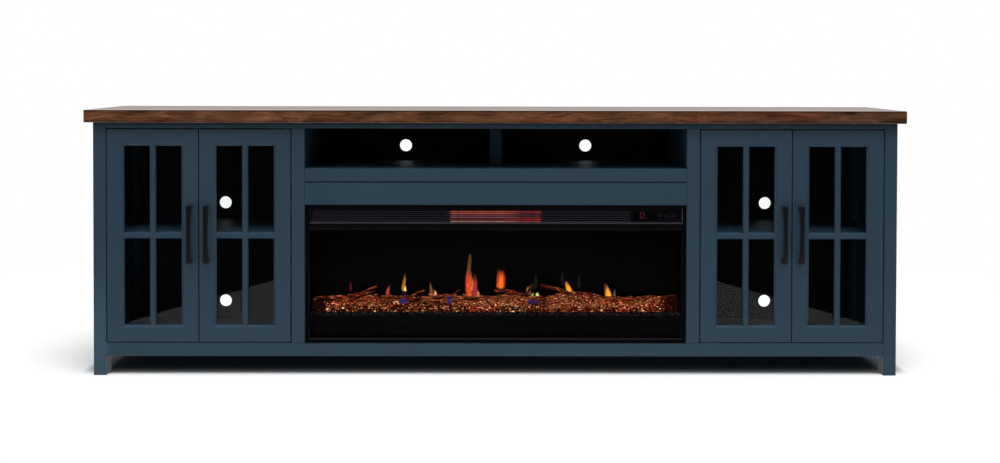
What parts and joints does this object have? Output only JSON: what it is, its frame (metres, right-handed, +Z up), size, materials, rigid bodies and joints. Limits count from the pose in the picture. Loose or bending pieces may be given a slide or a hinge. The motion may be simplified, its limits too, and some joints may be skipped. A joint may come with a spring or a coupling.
{
  "type": "fireplace tv stand",
  "caption": "Long painted TV stand with a planked wood top, glazed doors at each side, an open media bay and an electric fireplace in the centre.",
  "frame": {"origin": "on the floor, under the middle of the whole object's box", "axes": "+X runs along the cabinet to its right as seen from the front, +Y to the back, +Z up; the doors and fire face -Y"},
  "size_m": [2.464, 0.416, 0.8],
  "materials": {
    "stained_wood": "stained planks, satin varnish",
    "blue_paint": "satin blue paint on board",
    "back_board": "matt dark back board",
    "door_glass": "clear tempered pane",
    "black_handle": "black powder coat",
    "pivot_steel": "plain steel",
    "black_front_metal": "black satin",
    "viewing_glass": "lightly smoked glass",
    "housing_steel": "matt black sheet steel",
    "black_plastic": "gloss black",
    "quartz": "glowing quartz tubes in a steel reflector",
    "wheel_aluminium": "bright sheet",
    "embers": "moulded embers lit from below",
    "branch_resin": "moulded charred branches",
    "flame_screen": "dark projection sheet"
  },
  "bodies": {
    "cabinet": {"top_panel": "stained_wood", "leg_front_left": "blue_paint", "leg_front_right": "blue_paint", "leg_back_left": "blue_paint", "leg_back_right": "blue_paint", "top_rail": "blue_paint", "bottom_rail": "blue_paint", "centre_stile_left": "blue_paint", "centre_stile_right": "blue_paint", "side_panel_left": "blue_paint", "side_panel_right": "blue_paint", "partition_left": "blue_paint", "partition_right": "blue_paint", "cabinet_floor": "blue_paint", "media_shelf": "blue_paint", "media_divider": "blue_paint", "fascia_board": "blue_paint", "adjustable_shelf_left": "blue_paint", "adjustable_shelf_right": "blue_paint", "back_panel_left": "back_board", "back_panel_media": "back_board", "back_panel_right": "back_board", "front_bezel": "black_front_metal", "vent_grille": "black_front_metal", "viewing_glass": "viewing_glass", "firebox_housing": "housing_steel", "control_panel": "black_plastic", "quartz_heater": "quartz", "ember_bed": "embers", "branches": "branch_resin", "flame_screen": "flame_screen"},
    "door_1": {"door_frame_1": "blue_paint", "door_grille_1": "blue_paint", "door_glass_1": "door_glass", "door_handle_1": "black_handle", "upper_pivot_1": "pivot_steel", "lower_pivot_1": "pivot_steel"},
    "door_2": {"door_frame_2": "blue_paint", "door_grille_2": "blue_paint", "door_glass_2": "door_glass", "door_handle_2": "black_handle", "upper_pivot_2": "pivot_steel", "lower_pivot_2": "pivot_steel"},
    "door_3": {"door_frame_3": "blue_paint", "door_grille_3": "blue_paint", "door_glass_3": "door_glass", "door_handle_3": "black_handle", "upper_pivot_3": "pivot_steel", "lower_pivot_3": "pivot_steel"},
    "door_4": {"door_frame_4": "blue_paint", "door_grille_4": "blue_paint", "door_glass_4": "door_glass", "door_handle_4": "black_handle", "upper_pivot_4": "pivot_steel", "lower_pivot_4": "pivot_steel"},
    "key_1": {"panel_key_1": "black_plastic"},
    "key_2": {"panel_key_2": "black_plastic"},
    "key_3": {"panel_key_3": "black_plastic"},
    "blower": {"blower_wheel": "wheel_aluminium"},
    "rotor": {"flame_rotor": "wheel_aluminium"}
  },
  "joints": [
    {"name": "door_1_hinge", "type": "hinge", "parent": "cabinet", "child": "door_1", "pos_m": [-1.1555, -0.174, 0.4215], "axis": [0, 0, -1], "range_deg": [0, 105]},
    {"name": "door_2_hinge", "type": "hinge", "parent": "cabinet", "child": "door_2", "pos_m": [-0.6315, -0.174, 0.4215], "axis": [0, 0, 1], "range_deg": [0, 105]},
    {"name": "door_3_hinge", "type": "hinge", "parent": "cabinet", "child": "door_3", "pos_m": [0.6315, -0.174, 0.4215], "axis": [0, 0, -1], "range_deg": [0, 105]},
    {"name": "door_4_hinge", "type": "hinge", "parent": "cabinet", "child": "door_4", "pos_m": [1.1555, -0.174, 0.4215], "axis": [0, 0, 1], "range_deg": [0, 105]},
    {"name": "key_1_press", "type": "slide", "parent": "cabinet", "child": "key_1", "axis": [0, 1, 0], "range_m": [0, 0.001], "stiffness_N_per_m": 300},
    {"name": "key_2_press", "type": "slide", "parent": "cabinet", "child": "key_2", "axis": [0, 1, 0], "range_m": [0, 0.001], "stiffness_N_per_m": 300},
    {"name": "key_3_press", "type": "slide", "parent": "cabinet", "child": "key_3", "axis": [0, 1, 0], "range_m": [0, 0.001], "stiffness_N_per_m": 300},
    {"name": "blower_spin", "type": "hinge", "parent": "cabinet", "child": "blower", "pos_m": [0, -0.079, 0.476], "axis": [1, 0, 0], "continuous": true},
    {"name": "rotor_spin", "type": "hinge", "parent": "cabinet", "child": "rotor", "pos_m": [0, -0.054, 0.198], "axis": [1, 0, 0], "continuous": true}
  ]
}
